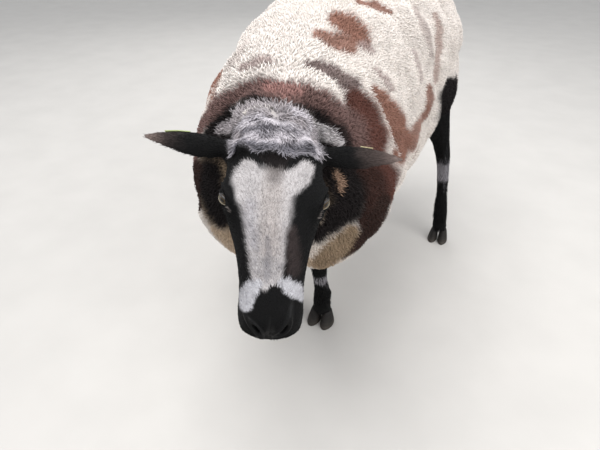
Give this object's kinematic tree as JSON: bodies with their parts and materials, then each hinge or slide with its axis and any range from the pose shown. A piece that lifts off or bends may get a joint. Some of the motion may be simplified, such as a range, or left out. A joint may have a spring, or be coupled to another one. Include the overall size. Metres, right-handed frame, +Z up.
{
  "type": "dutch spotted ram",
  "caption": "Life-size still model of a polled, spotted ram standing with its head turned, its short curly fleece in rounded clumps.",
  "frame": {"origin": "on the floor, under the middle of the whole ram's box", "axes": "+X is the ram's left, +Y runs from the nose to the tail, +Z is up"},
  "size_m": [0.4815, 1.2816, 0.774],
  "materials": {
    "fleece": "curly wool, warm white with brown and grey patches",
    "neck_wool": "curly wool, black and dark brown",
    "short_hair": "short flat hair, black with white markings",
    "skin": "bare skin with thin hair",
    "horn": "hoof horn, grey-black",
    "eye": "wet, reddish brown with a dark level pupil",
    "tag": "plain moulded ear tag"
  },
  "bodies": {
    "root": {"torso": "fleece", "neck": "neck_wool", "tail": "fleece", "scrotum": "skin", "leg_fore_left": "short_hair", "leg_fore_right": "short_hair", "leg_hind_left": "short_hair", "leg_hind_right": "short_hair", "hoof_fore_left_inner": "horn", "hoof_fore_left_outer": "horn", "hoof_fore_right_inner": "horn", "hoof_fore_right_outer": "horn", "hoof_hind_left_inner": "horn", "hoof_hind_left_outer": "horn", "hoof_hind_right_inner": "horn", "hoof_hind_right_outer": "horn", "head": "short_hair", "eye_left": "eye", "eye_right": "eye", "ear_left": "short_hair", "ear_right": "short_hair", "ear_tag_left": "tag", "ear_tag_right": "tag"}
  },
  "joints": []
}
